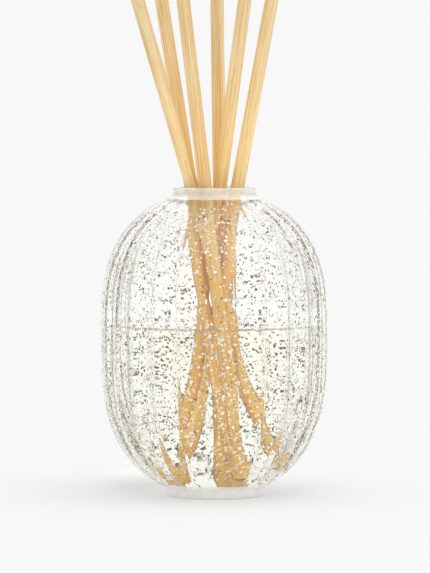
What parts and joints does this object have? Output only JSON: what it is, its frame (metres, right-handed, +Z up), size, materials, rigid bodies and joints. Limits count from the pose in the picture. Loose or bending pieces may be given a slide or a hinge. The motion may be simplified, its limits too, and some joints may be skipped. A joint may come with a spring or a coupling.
{
  "type": "reed diffuser",
  "caption": "Ribbed clear-glass reed diffuser bottle with embedded metallic flecks, half filled with pale oil, with rattan reeds crossed in its neck.",
  "frame": {"origin": "centre of the flat underside of the foot", "axes": "+Z up along the bottle's axis; the front, where reed_3 stands nearest in the neck, faces -Y; +X to the right as seen from the front"},
  "size_m": [0.0761, 0.0722, 0.2081],
  "materials": {
    "bottle_glass": "polished",
    "oil": "gloss",
    "rattan": "matte"
  },
  "bodies": {
    "bottle": {"glass_bottle": "bottle_glass", "fragrance_oil": "oil"},
    "reed_1_body": {"reed_1": "rattan"},
    "reed_2_body": {"reed_2": "rattan"},
    "reed_3_body": {"reed_3": "rattan"},
    "reed_4_body": {"reed_4": "rattan"},
    "reed_5_body": {"reed_5": "rattan"},
    "reed_6_body": {"reed_6": "rattan"}
  },
  "joints": [
    {"name": "reed_1_slide", "type": "slide", "parent": "bottle", "child": "reed_1_body", "axis": [-0.2803, -0.0207, 0.9597], "range_m": [0, 0.085]},
    {"name": "reed_2_slide", "type": "slide", "parent": "bottle", "child": "reed_2_body", "axis": [-0.1555, 0.0817, 0.9845], "range_m": [0, 0.085]},
    {"name": "reed_3_slide", "type": "slide", "parent": "bottle", "child": "reed_3_body", "axis": [-0.1173, 0.0395, 0.9923], "range_m": [0, 0.085]},
    {"name": "reed_4_slide", "type": "slide", "parent": "bottle", "child": "reed_4_body", "axis": [-0.0136, -0.0057, 0.9999], "range_m": [0, 0.085]},
    {"name": "reed_5_slide", "type": "slide", "parent": "bottle", "child": "reed_5_body", "axis": [0.1286, -0.1774, 0.9757], "range_m": [0, 0.085]},
    {"name": "reed_6_slide", "type": "slide", "parent": "bottle", "child": "reed_6_body", "axis": [0.1783, -0.0825, 0.9805], "range_m": [0, 0.085]}
  ]
}
